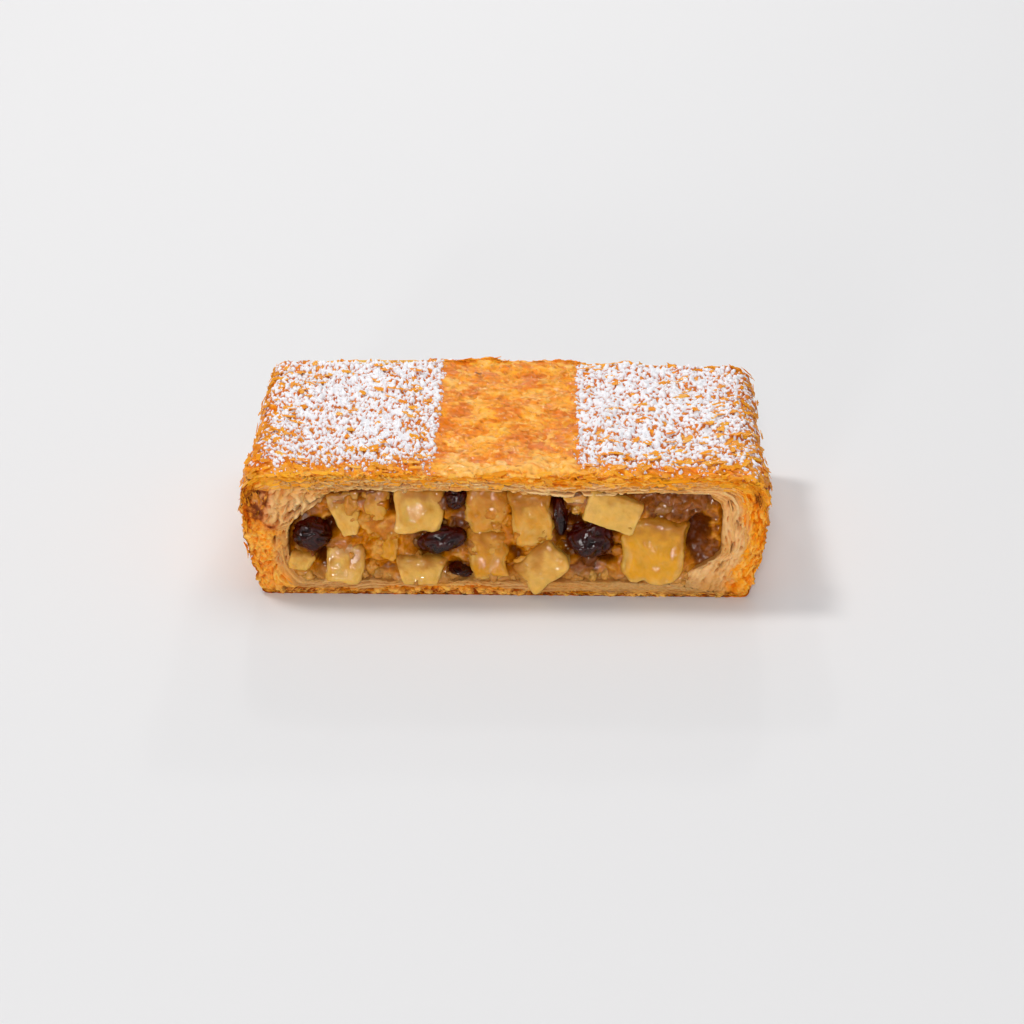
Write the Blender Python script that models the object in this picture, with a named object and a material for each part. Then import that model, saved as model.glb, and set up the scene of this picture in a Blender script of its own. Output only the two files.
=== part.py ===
"""A cut slice of apple strudel: a puff pastry sleeve round a core of cooked
fruit, with the fruit cubes and raisins that show at its two cut faces.

Metres, Z up. X runs across the log from side wall to side wall, Y runs along
the log from the front cut to the back cut, and the flat base rests on Z = 0.
"""
import math
import random

import bmesh
import bpy
from mathutils import Matrix, Vector, noise

MM = 0.001

# The log, as it lies on its base.
LOG_LENGTH = 75.4 * MM
BELLY_HALF_WIDTH = 68.4 * MM
SHOULDER_HALF_WIDTH = 66.8 * MM
BASE_HALF_WIDTH = 62.6 * MM
LOG_HEIGHT = 34.0 * MM
BELLY_HEIGHT = 15.0 * MM
BELLY_RADIUS = 22.0 * MM
CROWN_RISE = 0.6 * MM
SHOULDER_RADIUS = 6.5 * MM
BASE_RADIUS = 2.0 * MM

# The hollow that the pastry leaves for the filling.
HOLLOW_HALF_WIDTH = 55.6 * MM
HOLLOW_FLOOR = 3.9 * MM
HOLLOW_CEILING = 29.2 * MM
FOLD_RUN = 13.0 * MM
FOLD_DROP = 9.5 * MM
ROLL_RUN = 13.0 * MM
ROLL_RISE = 7.5 * MM
HOLLOW_RADIUS = 6.0 * MM

# Handmade unevenness.
SWAY = 0.45 * MM
SWAY_REACH = 24.0 * MM
BACK_SLUMP = 1.4 * MM
CUT_RELIEF = 0.7 * MM
FILLING_SET_BACK = 1.6 * MM
FILLING_RELIEF = 1.1 * MM

# Clearance between neighbouring pieces.
GAP = 0.3 * MM

ARC_STEPS = 4
SIDE_SPLITS = (1, 2, 8, 2, 1, 8)
STATIONS = 7
CAP_SHARES = (0.8, 0.55, 0.28)

CUBE_BEVEL = 0.9 * MM
RAISIN_SIDES = 10
RAISIN_RINGS = 7
RAISIN_WRINKLE = 0.35 * MM

# Pieces at the front cut, in millimetres: the place of the middle across and
# up, the width and height of the side that shows, how deep it reaches, how far
# it stands out of the cut, its turn in degrees, and the width of its foot as a
# share of its top.
FRONT_CUBES = (
    ("apple_front_1", -39.7, 21.9, 10.8, 10.6, 13.0, 0.8, 9.0, 0.52),
    ("apple_front_2", -22.2, 23.6, 12.4, 10.2, 12.0, 1.6, -4.0, 0.84),
    ("apple_front_3", -30.6, 13.7, 10.2, 6.4, 11.0, 0.2, 6.0, 0.9),
    ("apple_front_4", -42.0, 9.0, 10.4, 7.6, 12.0, 0.6, -5.0, 0.9),
    ("apple_front_5", -21.6, 7.2, 10.8, 5.4, 12.0, 1.4, -3.0, 0.66),
    ("apple_front_6", -4.2, 23.7, 9.8, 10.0, 12.0, 0.8, 2.0, 0.96),
    ("apple_front_7", -3.6, 12.2, 9.4, 10.6, 13.0, 0.6, -3.0, 0.88),
    ("apple_front_8", 6.7, 21.9, 10.6, 12.6, 13.0, 1.6, 7.0, 0.84),
    ("apple_front_9", 9.6, 10.2, 8.0, 7.8, 12.0, 2.2, 40.0, 1.0),
    ("apple_front_10", 28.0, 23.8, 11.6, 8.0, 12.0, 2.2, -20.0, 0.95),
    ("apple_front_11", 38.4, 12.1, 13.2, 12.4, 13.0, 1.6, -3.0, 0.84),
    ("apple_front_12", -51.9, 9.2, 6.4, 4.8, 9.0, 0.6, -26.0, 0.9),
    ("apple_front_13", -31.5, 23.4, 4.4, 8.6, 10.0, 0.2, 3.0, 0.9),
    ("apple_front_14", 18.3, 27.1, 5.2, 3.2, 9.0, 0.0, 4.0, 0.9),
)
FRONT_RAISINS = (
    ("raisin_front_1", -49.6, 16.7, 10.8, 9.0, 9.0, 1.8, -12.0, 1.0),
    ("raisin_front_2", -15.9, 14.7, 13.4, 7.4, 9.0, 2.4, 16.0, 1.0),
    ("raisin_front_3", -12.4, 26.6, 5.6, 4.4, 8.0, 0.4, 0.0, 1.0),
    ("raisin_front_4", -12.0, 6.8, 6.6, 3.4, 8.0, 0.8, -6.0, 1.0),
    ("raisin_front_5", 14.6, 22.0, 3.4, 7.2, 8.0, 0.4, 8.0, 1.0),
    ("raisin_front_6", 22.3, 14.4, 12.4, 9.8, 10.0, 2.4, -8.0, 1.0),
)
# The pit beside the last cube, where the filling has sunk away.
PIT = ("pit", 50.2, 16.4, 7.4, 11.0, 15.0, 7.5, 4.0, 1.0)

# Pieces at the back cut, as seen from behind it.
BACK_CUBES = (
    ("apple_back_1", -41.4, 12.9, 12.4, 11.8, 13.0, 1.2, 6.0, 0.9),
    ("apple_back_2", -28.2, 21.6, 12.4, 11.0, 12.0, 1.8, -14.0, 0.85),
    ("apple_back_3", -27.4, 8.6, 11.6, 7.2, 12.0, 1.0, 12.0, 0.8),
    ("apple_back_4", -5.4, 21.9, 13.4, 11.6, 13.0, 1.4, 9.0, 0.75),
    ("apple_back_5", -7.6, 8.6, 10.4, 7.4, 11.0, 0.8, -8.0, 0.9),
    ("apple_back_6", 12.6, 11.2, 10.0, 9.4, 12.0, 2.0, 31.0, 1.0),
    ("apple_back_7", 24.4, 23.2, 13.0, 9.0, 12.0, 1.2, -7.0, 0.9),
    ("apple_back_8", 29.8, 10.4, 14.0, 10.6, 13.0, 1.6, 4.0, 0.8),
    ("apple_back_9", 43.4, 20.6, 9.4, 8.6, 11.0, 1.0, -18.0, 0.85),
)
BACK_RAISINS = (
    ("raisin_back_1", -42.6, 23.4, 9.4, 6.2, 8.0, 1.4, 12.0, 1.0),
    ("raisin_back_2", -16.4, 14.8, 9.4, 7.2, 9.0, 2.4, -18.0, 1.0),
    ("raisin_back_3", 8.6, 23.6, 9.0, 7.2, 9.0, 1.6, 15.0, 1.0),
    ("raisin_back_4", 45.0, 10.6, 9.4, 6.4, 9.0, 2.4, 24.0, 1.0),
    ("raisin_back_5", 2.0, 9.6, 6.4, 4.6, 8.0, 1.0, 0.0, 1.0),
)

COLOURS = {
    "baked_pastry": (0.80, 0.40, 0.11, 1.0),
    "stewed_filling": (0.38, 0.19, 0.05, 1.0),
    "cooked_fruit": (0.62, 0.38, 0.10, 1.0),
    "raisin_skin": (0.035, 0.012, 0.009, 1.0),
}


def clear_scene():
    for ob in list(bpy.data.objects):
        bpy.data.objects.remove(ob, do_unlink=True)


def new_collection(name):
    made = bpy.data.collections.new(name)
    bpy.context.scene.collection.children.link(made)
    return made


def new_material(name, roughness):
    made = bpy.data.materials.new(name)
    made.use_nodes = True
    shader = made.node_tree.nodes["Principled BSDF"]
    shader.inputs["Base Color"].default_value = COLOURS[name]
    shader.inputs["Roughness"].default_value = roughness
    return made


def add_object(name, bm, collection, material=None):
    bmesh.ops.recalc_face_normals(bm, faces=bm.faces)
    mesh = bpy.data.meshes.new(name)
    bm.to_mesh(mesh)
    bm.free()
    ob = bpy.data.objects.new(name, mesh)
    collection.objects.link(ob)
    if material is not None:
        mesh.materials.append(material)
    return ob


def round_corner(before, corner, after, radius):
    """The points of an arc that rounds one corner of an outline."""
    to_before = (before - corner).normalized()
    to_after = (after - corner).normalized()
    half = to_before.angle(to_after) / 2
    reach = radius / math.tan(half)
    middle = corner + (to_before + to_after).normalized() * radius / math.sin(half)
    start = corner + to_before * reach - middle
    end = corner + to_after * reach - middle
    points = []
    for i in range(ARC_STEPS + 1):
        part = start.lerp(end, i / ARC_STEPS)
        points.append(middle + part.normalized() * radius)
    return points


def outline_of(corners):
    """A ring of points round a polygon with rounded corners. Every corner gets
    the same number of points, so two such rings can be joined."""
    places = [Vector((x, z)) for x, z, radius in corners]
    total = len(places)
    arcs = []
    for i in range(total):
        before = places[i - 1]
        after = places[(i + 1) % total]
        arcs.append(round_corner(before, places[i], after, corners[i][2]))
    ring = []
    for i in range(total):
        ring += arcs[i]
        end = arcs[(i + 1) % total][0]
        for k in range(1, SIDE_SPLITS[i]):
            ring.append(arcs[i][-1].lerp(end, k / SIDE_SPLITS[i]))
    return ring


def outer_corners():
    top = LOG_HEIGHT - CROWN_RISE
    return (
        (BASE_HALF_WIDTH, 0.0, BASE_RADIUS),
        (BELLY_HALF_WIDTH, BELLY_HEIGHT, BELLY_RADIUS),
        (SHOULDER_HALF_WIDTH, top, SHOULDER_RADIUS),
        (-SHOULDER_HALF_WIDTH, top, SHOULDER_RADIUS),
        (-BELLY_HALF_WIDTH, BELLY_HEIGHT, BELLY_RADIUS),
        (-BASE_HALF_WIDTH, 0.0, BASE_RADIUS),
    )


def hollow_corners():
    """The hollow's ceiling folds down at the left, where the sheet starts, and
    its floor rolls up at the right, where the sheet ends."""
    left = -HOLLOW_HALF_WIDTH
    right = HOLLOW_HALF_WIDTH
    return (
        (right - ROLL_RUN, HOLLOW_FLOOR, HOLLOW_RADIUS),
        (right, HOLLOW_FLOOR + ROLL_RISE, HOLLOW_RADIUS),
        (right, HOLLOW_CEILING, HOLLOW_RADIUS),
        (left + FOLD_RUN, HOLLOW_CEILING, HOLLOW_RADIUS),
        (left, HOLLOW_CEILING - FOLD_DROP, HOLLOW_RADIUS),
        (left, HOLLOW_FLOOR, HOLLOW_RADIUS),
    )


def uneven(point, along, lift_floor):
    """One point of a section, moved a little by hand-rolling and settling."""
    x, z = point
    back = (along / LOG_LENGTH + 0.5) * 1.0
    high = max(0.0, z / LOG_HEIGHT)
    crown = CROWN_RISE * high * (1 - (x / BELLY_HALF_WIDTH) ** 2)
    slump = BACK_SLUMP * high * back * max(0.0, x / BELLY_HALF_WIDTH)
    where = Vector((x, along, z)) / SWAY_REACH
    side = noise.noise(where) * SWAY
    rise = noise.noise(where + Vector((7.0, 3.0, 1.0))) * SWAY
    if z < 0.5 * MM and not lift_floor:
        return x + side, z
    return x + side * high, z + rise * high + crown - slump


def ring_at(bm, outline, along, lift_floor, relief=0.0):
    ring = []
    for point in outline:
        x, z = uneven(point, along, lift_floor)
        where = Vector((x, z, along)) / (5 * MM)
        out = noise.noise(where) * relief * (1 if along > 0 else -1)
        ring.append(bm.verts.new((x, along + out, z)))
    return ring


def skin(bm, first, second):
    count = len(first)
    for i in range(count):
        after = (i + 1) % count
        bm.faces.new((first[i], first[after], second[after], second[i]))


def stations(length):
    return [(i / (STATIONS - 1) - 0.5) * length for i in range(STATIONS)]


def build_pastry(collection, material):
    """The sleeve: its outside and its hollow, joined at both cut faces."""
    bm = bmesh.new()
    outside = outline_of(outer_corners())
    inside = outline_of(hollow_corners())
    middle = [a.lerp(b, 0.5) for a, b in zip(outside, inside)]
    length = LOG_LENGTH - 2 * CUT_RELIEF
    places = stations(length)
    rings = [ring_at(bm, outside, y, False) for y in places]
    rings.append(ring_at(bm, middle, places[-1], True, CUT_RELIEF))
    rings += [ring_at(bm, inside, y, True) for y in reversed(places)]
    rings.append(ring_at(bm, middle, places[0], True, CUT_RELIEF))
    for i, ring in enumerate(rings):
        skin(bm, ring, rings[(i + 1) % len(rings)])
    return add_object("pastry", bm, collection, material)


def shrink(outline, by):
    """The same outline, drawn in by a clearance."""
    count = len(outline)
    ring = []
    for i in range(count):
        along = outline[(i + 1) % count] - outline[i - 1]
        inward = Vector((-along.y, along.x)).normalized()
        ring.append(outline[i] + inward * by)
    return ring


def close_end(bm, ring, along, relief):
    """Rings of shrinking size and a middle point, which close one end."""
    middle = sum((v.co for v in ring), Vector()) / len(ring)
    for share in CAP_SHARES:
        inner = []
        for v in ring_start(ring, middle, share):
            out = noise.noise(Vector((v.x, v.z, along)) / (6 * MM)) * relief
            inner.append(bm.verts.new((v.x, along + out, v.z)))
        yield inner
    yield [bm.verts.new((middle.x, along, middle.z))]


def ring_start(ring, middle, share):
    return [middle + (v.co - middle) * share for v in ring]


def build_filling(collection, material):
    """The fruit core, which runs through from one cut to the other."""
    bm = bmesh.new()
    outline = shrink(outline_of(hollow_corners()), GAP * 1.4)
    places = stations(LOG_LENGTH - 2 * FILLING_SET_BACK)
    rings = [ring_at(bm, outline, y, True) for y in places]
    for first, second in zip(rings, rings[1:]):
        skin(bm, first, second)
    for ring, along in ((rings[0], places[0]), (rings[-1], places[-1])):
        last = ring
        for inner in close_end(bm, ring, along, FILLING_RELIEF):
            if len(inner) == 1:
                fan(bm, last, inner[0])
            else:
                skin(bm, last, inner)
            last = inner
    return add_object("filling", bm, collection, material)


def fan(bm, ring, middle):
    for i in range(len(ring)):
        bm.faces.new((ring[i], ring[(i + 1) % len(ring)], middle))


def place_of(piece, side, reach):
    """Where a piece sits: side is -1 at the front cut and 1 at the back."""
    name, x, z, width, height, depth, proud, turn, foot = piece
    face = side * (LOG_LENGTH / 2 + reach * proud * MM)
    along = face - side * depth * MM / 2
    spot = Matrix.Translation(Vector((-side * x * MM, along, z * MM)))
    return spot @ Matrix.Rotation(math.radians(turn * side), 4, "Y")


def build_cube(piece, side, grow, collection, material=None):
    """A fruit cube with softened edges, narrower toward its foot."""
    name, x, z, width, height, depth, proud, turn, foot = piece
    dice = random.Random(name)
    bm = bmesh.new()
    bmesh.ops.create_cube(bm, size=1.0)
    for v in bm.verts:
        shear = dice.uniform(-0.05, 0.05)
        wide = foot if v.co.z < 0 else 1.0
        v.co.x = v.co.x * width * MM * (wide + shear)
        v.co.y = v.co.y * depth * MM * (1 + shear)
        v.co.z = v.co.z * height * MM * (1 + shear)
    if not grow:
        bmesh.ops.bevel(bm, geom=bm.edges, offset=CUBE_BEVEL, segments=1,
                        profile=0.5, affect="EDGES")
    bmesh.ops.triangulate(bm, faces=bm.faces)
    swell(bm, grow)
    bmesh.ops.transform(bm, matrix=place_of(piece, side, 1.0), verts=bm.verts)
    return add_object(name + "_cutter" * bool(grow), bm, collection, material)


def build_raisin(piece, side, grow, collection, material=None):
    """A swollen raisin with a few folds in its skin."""
    name, x, z, width, height, depth, proud, turn, foot = piece
    shift = Vector((len(name) * 1.7, x, z))
    bm = bmesh.new()
    bmesh.ops.create_uvsphere(bm, u_segments=RAISIN_SIDES,
                              v_segments=RAISIN_RINGS, radius=0.5)
    for v in bm.verts:
        fold = 1 + noise.noise(v.co * 5 + shift) * RAISIN_WRINKLE / (2 * MM)
        size = Vector((width, depth, height)) * MM * fold
        v.co = Vector(a * b for a, b in zip(v.co, size))
    bmesh.ops.triangulate(bm, faces=bm.faces)
    swell(bm, grow)
    bmesh.ops.transform(bm, matrix=place_of(piece, side, 1.0), verts=bm.verts)
    return add_object(name + "_cutter" * bool(grow), bm, collection, material)


def swell(bm, by):
    """Moves every face of a solid out by a clearance."""
    bmesh.ops.recalc_face_normals(bm, faces=bm.faces)
    bm.normal_update()
    moves = [(v, v.normal * by * v.calc_shell_factor()) for v in bm.verts]
    for v, move in moves:
        v.co += move


def cut_pocket(body, cutter):
    """Takes the room for one piece out of a body, and hides the cutter."""
    mod = body.modifiers.new(cutter.name, "BOOLEAN")
    mod.operation = "DIFFERENCE"
    mod.solver = "EXACT"
    mod.object = cutter
    cutter.hide_render = True
    cutter.display_type = "WIRE"


def main():
    clear_scene()
    made = new_collection("fruit_strudel_slice")
    cutters = new_collection("cutters")
    baked = new_material("baked_pastry", 0.55)
    stewed = new_material("stewed_filling", 0.3)
    cooked = new_material("cooked_fruit", 0.3)
    skinned = new_material("raisin_skin", 0.25)

    build_pastry(made, baked)
    filling = build_filling(made, stewed)
    sides = ((-1, FRONT_CUBES, FRONT_RAISINS), (1, BACK_CUBES, BACK_RAISINS))
    for side, cubes, raisins in sides:
        for piece in cubes:
            build_cube(piece, side, 0.0, made, cooked)
            cut_pocket(filling, build_cube(piece, side, GAP, cutters))
        for piece in raisins:
            build_raisin(piece, side, 0.0, made, skinned)
            cut_pocket(filling, build_raisin(piece, side, GAP, cutters))
    cut_pocket(filling, build_raisin(PIT, -1, GAP, cutters))


main()
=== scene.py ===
import math
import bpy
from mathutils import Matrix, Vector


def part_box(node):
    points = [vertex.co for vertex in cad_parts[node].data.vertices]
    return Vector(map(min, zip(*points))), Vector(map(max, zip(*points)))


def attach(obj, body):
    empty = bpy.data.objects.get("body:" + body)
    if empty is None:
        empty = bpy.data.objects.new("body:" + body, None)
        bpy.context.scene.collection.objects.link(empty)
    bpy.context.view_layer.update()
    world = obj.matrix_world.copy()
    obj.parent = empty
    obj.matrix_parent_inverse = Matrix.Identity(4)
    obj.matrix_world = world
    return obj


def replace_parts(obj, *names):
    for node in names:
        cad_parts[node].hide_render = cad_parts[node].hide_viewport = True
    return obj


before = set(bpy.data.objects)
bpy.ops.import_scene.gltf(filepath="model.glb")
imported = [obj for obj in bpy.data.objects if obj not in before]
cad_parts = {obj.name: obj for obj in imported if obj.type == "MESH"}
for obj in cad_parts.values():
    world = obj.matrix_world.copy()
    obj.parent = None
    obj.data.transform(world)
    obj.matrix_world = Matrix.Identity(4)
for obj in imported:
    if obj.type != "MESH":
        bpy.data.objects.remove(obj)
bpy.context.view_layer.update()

from types import SimpleNamespace

import bmesh
import bpy
import numpy as np
from mathutils import Vector

# Lengths are in millimetres, and pieces are scaled to metres when their meshes
# are made. Only the stage, at the end, is laid out in metres. X runs across the
# log, Y from the front cut to the back cut, Z up.
MM = 0.001

# ---- the frame


def box_mm(node):
    low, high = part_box(node)
    return np.array(low) / MM, np.array(high) / MM


PASTRY_LOW, PASTRY_HIGH = box_mm("pastry")
FILLING_LOW, FILLING_HIGH = box_mm("filling")
HALF_LENGTH = (PASTRY_HIGH[1] - PASTRY_LOW[1]) / 2
LOG_TOP = PASTRY_HIGH[2]
BELLY_HALF = (PASTRY_HIGH[0] - PASTRY_LOW[0]) / 2 + 0.4
SHOULDER_HALF = BELLY_HALF - 1.4
BASE_HALF = BELLY_HALF - 5.8
BELLY_HEIGHT = 15.0
CROWN_RISE = 0.8
BACK_SLUMP = 1.4

HOLLOW_HALF = FILLING_HIGH[0] + 0.4
HOLLOW_FLOOR = FILLING_LOW[2] - 0.3
HOLLOW_CEILING = FILLING_HIGH[2] - 0.1
FOLD_RUN = 13.0
FOLD_DROP = 9.5
ROLL_RUN = 13.0
ROLL_RISE = 7.5

BARE_HALF = 18.4          # the strip between the two bands of sugar
FRONT, BACK = -1, 1

# ---- noise

GRADIENTS = np.array([
    (1, 1, 0), (-1, 1, 0), (1, -1, 0), (-1, -1, 0),
    (1, 0, 1), (-1, 0, 1), (1, 0, -1), (-1, 0, -1),
    (0, 1, 1), (0, -1, 1), (0, 1, -1), (0, -1, -1)], float)


def hashed(cell, seed):
    """A whole number for each cell of a lattice, always the same one."""
    mixed = cell[..., 0] * 374761393 + cell[..., 1] * 668265263
    mixed = (mixed + cell[..., 2] * 1442695041 + seed * 974711) & 0xFFFFFFFF
    mixed = ((mixed ^ (mixed >> 13)) * 1274126177) & 0xFFFFFFFF
    return mixed ^ (mixed >> 16)


def chance(cell, seed):
    return (hashed(cell, seed) & 0xFFFFFF) / float(0xFFFFFF)


def stack(*parts):
    return np.stack(np.broadcast_arrays(*parts), -1).astype(float)


def noise(points, seed=0):
    """Gradient noise between about -1 and 1, at points or at the places that a
    tuple of three coordinates gives."""
    points = stack(*points) if isinstance(points, tuple) else points
    low = np.floor(points).astype(np.int64)
    part = points - low
    ease = part ** 3 * (part * (part * 6 - 15) + 10)
    total = np.zeros(points.shape[:-1])
    for corner in np.ndindex(2, 2, 2):
        step = np.array(corner)
        slope = GRADIENTS[hashed(low + step, seed) % 12]
        weight = np.prod(np.where(step == 1, ease, 1 - ease), -1)
        total += weight * np.sum(slope * (part - step), -1)
    return total


def fractal(points, octaves, seed, gain=0.5):
    """Noise with finer noise on top, each octave gain times as strong."""
    points = stack(*points) if isinstance(points, tuple) else points
    return sum(noise(points * 2 ** i, seed + 17 * i) * gain ** i for i in range(octaves))


def cells(a, b, seed):
    """Distance to the nearest and second nearest scattered dot, and a chance
    that belongs to the nearest."""
    spot = stack(a, b, 0)
    low = np.floor(spot).astype(np.int64)
    near = np.full(spot.shape[:-1], 9.0)
    second = np.full(spot.shape[:-1], 9.0)
    owner = np.zeros(spot.shape[:-1])
    for i in (-1, 0, 1):
        for j in (-1, 0, 1):
            cell = low + np.array((i, j, 0))
            dot_a = cell[..., 0] + chance(cell, seed + 1)
            dot_b = cell[..., 1] + chance(cell, seed + 2)
            far = np.hypot(spot[..., 0] - dot_a, spot[..., 1] - dot_b)
            nearer = far < near
            second = np.where(nearer, near, np.minimum(second, far))
            owner = np.where(nearer, chance(cell, seed + 3), owner)
            near = np.where(nearer, far, near)
    return near, second, owner


def clamp(value):
    return np.clip(value, 0, 1)


def ramp(value, low, high):
    """0 below low, 1 above high, and a smooth step between."""
    share = clamp((value - low) / (high - low))
    return share * share * (3 - 2 * share)


def wane(value, low, high):
    """1 below low, 0 above high."""
    return 1 - ramp(value, low, high)


def mix(tint, colour, share):
    return tint + (colour - tint) * np.asarray(share)[..., None]


def coated(tint, *coats):
    """A tint under further coats, each a colour and its share."""
    for colour, share in coats:
        tint = mix(tint, colour, share)
    return tint


def unit(vectors):
    return vectors / np.linalg.norm(vectors, axis=-1, keepdims=True)


def turned(a, b, degrees):
    """Two coordinates, turned round the middle."""
    turn = math.radians(degrees)
    return (a * math.cos(turn) + b * math.sin(turn),
            -a * math.sin(turn) + b * math.cos(turn))


def from_spot(a, b, spot):
    """How far a place is from a spot's middle, as a share of its half sizes."""
    return np.hypot((a - spot[0]) / spot[2], (b - spot[1]) / spot[3])


# ---- colours


def paint(red, green, blue):
    """A colour as the eye reads it, 0 to 255, in the renderer's own terms."""
    share = np.array((red, green, blue)) / 255
    return np.where(share <= 0.04045, share / 12.92, ((share + 0.055) / 1.055) ** 2.4)


PALE_DOUGH = paint(240, 197, 138)
BUTTER_DOUGH = paint(226, 156, 72)
LIGHT_GOLD = paint(252, 170, 38)
PEACH_CRUST = paint(254, 190, 92)
GOLD = paint(242, 138, 8)
HONEY = paint(220, 110, 0)
AMBER_CRUST = paint(206, 88, 2)
BROWN_CRUST = paint(146, 58, 10)
BURNT = paint(78, 26, 12)
SUGAR_WHITE = paint(246, 246, 252)
SUGAR_SHADE = paint(206, 138, 106)
# Painted shade: the crust's colour in the shadowed holes between sugar clumps.
CRUST_SHADED_BY_SUGAR = paint(192, 92, 42)
WET_DOUGH = paint(192, 136, 68)
LAYER_SHADE = paint(208, 116, 42)
# Painted shade for recesses: openings and folds between the layers, the hollow's wall and
# the pits in the filling.
DEEP_SHADE = paint(92, 32, 0)
# Painted shade in the pulp beside the raisins, tinted wine-red.
SHADE_BESIDE_RAISINS = paint(68, 16, 2)
APPLE_PALE = paint(226, 176, 80)
APPLE_AMBER = paint(202, 122, 0)
APPLE_SHADE = paint(160, 94, 20)
APPLE_YELLOW = paint(226, 158, 0)
MUSH_AMBER = paint(178, 98, 0)
MUSH_BROWN = paint(84, 30, 0)
MUSH_PINK = paint(142, 78, 24)
RAISIN_DARK = paint(22, 4, 4)
RAISIN_WINE = paint(72, 6, 0)

# ---- materials


def put(node, values):
    """Sets a node's own sockets."""
    for socket, value in values.items():
        node.inputs[socket].default_value = value


def new_material(name):
    made = bpy.data.materials.new(name)
    made.use_nodes = True
    return made, made.node_tree.nodes["Principled BSDF"]


def new_food(name, rough, glow, grain, depth, patchy, patch, coat=0.0,
             coat_rough=0.15, glow_radius=(1.0, 0.45, 0.2), film=0.05, specular=0.05):
    """A moist or baked food: the piece's own painted tint, broken up by fine
    noise, with uneven gloss, a fine grain in its surface and a film of syrup
    or glaze with ripples of its own. Patches, grain and ripples are measured
    in millimetres."""
    made, shader = new_material(name)
    node = made.node_tree.nodes.new
    link = made.node_tree.links.new

    place = node("ShaderNodeTexCoord")
    tint = node("ShaderNodeAttribute")
    tint.attribute_name = "tint"

    patches = node("ShaderNodeTexNoise")
    put(patches, {"Scale": 1 / (patch * MM), "Detail": 5.0, "Roughness": 0.62})
    link(place.outputs["Object"], patches.inputs["Vector"])
    level = node("ShaderNodeMapRange")
    put(level, {"From Min": 0.3, "From Max": 0.7, "To Min": 1 - patchy,
                "To Max": 1 + patchy})
    link(patches.outputs["Fac"], level.inputs["Value"])
    shade = node("ShaderNodeVectorMath")
    shade.operation = "SCALE"
    link(tint.outputs["Color"], shade.inputs[0])
    link(level.outputs["Result"], shade.inputs["Scale"])
    link(shade.outputs["Vector"], shader.inputs["Base Color"])

    gloss = node("ShaderNodeMapRange")
    put(gloss, {"From Min": 0.35, "From Max": 0.65, "To Min": rough[0],
                "To Max": rough[1]})
    link(patches.outputs["Fac"], gloss.inputs["Value"])
    link(gloss.outputs["Result"], shader.inputs["Roughness"])

    fine = node("ShaderNodeTexNoise")
    put(fine, {"Scale": 1 / (grain * MM), "Detail": 2.0})
    link(place.outputs["Object"], fine.inputs["Vector"])
    for socket, rise in (("Normal", depth), ("Coat Normal", film)):
        bump = node("ShaderNodeBump")
        put(bump, {"Strength": 1.0, "Distance": rise * MM})
        link(fine.outputs["Fac"], bump.inputs["Height"])
        link(bump.outputs["Normal"], shader.inputs[socket])

    put(shader, {"Specular IOR Level": specular, "Coat Weight": coat,
                 "Coat Roughness": coat_rough, "Subsurface Weight": glow,
                 "Subsurface Radius": glow_radius, "Subsurface Scale": MM})
    return made


CRUST = new_food("baked_crust", (0.4, 0.6), glow=0.15, grain=0.9, depth=0.12,
                 patchy=0.2, patch=1.6, coat=0.34, coat_rough=0.08, film=0.16,
                 specular=0.0)
LAYERS = new_food("layered_dough", (0.5, 0.7), glow=0.3, grain=0.5, depth=0.05,
                  patchy=0.07, patch=1.2, glow_radius=(1.6, 0.8, 0.35), specular=0.04)
FLAKE = new_food("crisp_flake", (0.32, 0.5), glow=0.25, grain=0.5, depth=0.02,
                 patchy=0.12, patch=1.5, coat=0.1, coat_rough=0.12, specular=0.04)
FRUIT = new_food("stewed_fruit", (0.25, 0.5), glow=0.5, grain=1.3, depth=0.14,
                 patchy=0.12, patch=2.6, coat=0.75, coat_rough=0.06,
                 glow_radius=(2.2, 1.2, 0.4), film=0.3)
PULP = new_food("fruit_pulp", (0.22, 0.4), glow=0.4, grain=1.0, depth=0.2,
                patchy=0.2, patch=1.6, coat=0.65, coat_rough=0.06,
                glow_radius=(2.0, 1.0, 0.3), film=0.26)
RAISIN = new_food("raisin_skin", (0.26, 0.4), glow=0.05, grain=0.9, depth=0.2,
                  patchy=0.3, patch=1.2, coat=0.7, coat_rough=0.08, film=0.16)
SUGAR = new_food("dusted_sugar", (0.85, 0.95), glow=0.3, grain=0.12, depth=0.02,
                 patchy=0.02, patch=0.5, glow_radius=(0.5, 0.5, 0.5), specular=0.2)

# ---- meshes


def quads(rows, columns, start=0):
    """The faces of a sheet of points, row after row."""
    base = np.arange(rows - 1)[:, None] * columns + np.arange(columns - 1)[None, :]
    base = base.ravel() + start
    return np.stack([base, base + 1, base + columns + 1, base + columns], -1)


def rim_band(rows, columns):
    """The faces that close the rim between two sheets of quads()."""
    rim = np.concatenate([
        np.arange(columns), np.arange(1, rows) * columns + columns - 1,
        (rows - 1) * columns + np.arange(columns - 2, -1, -1),
        np.arange(rows - 2, 0, -1) * columns])
    after = np.roll(rim, -1)
    return np.stack([after, rim, rim + rows * columns, after + rows * columns], -1)


def net(make):
    """The points and faces of the closed shape that make(bm) makes."""
    bm = bmesh.new()
    make(bm)
    bm.verts.ensure_lookup_table()
    points = np.array([v.co for v in bm.verts])
    faces = np.array([[v.index for v in f.verts] for f in bm.faces])
    bm.free()
    return points, faces


def ball(finer):
    return net(lambda bm: bmesh.ops.create_icosphere(bm, subdivisions=finer, radius=1.0))


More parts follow.
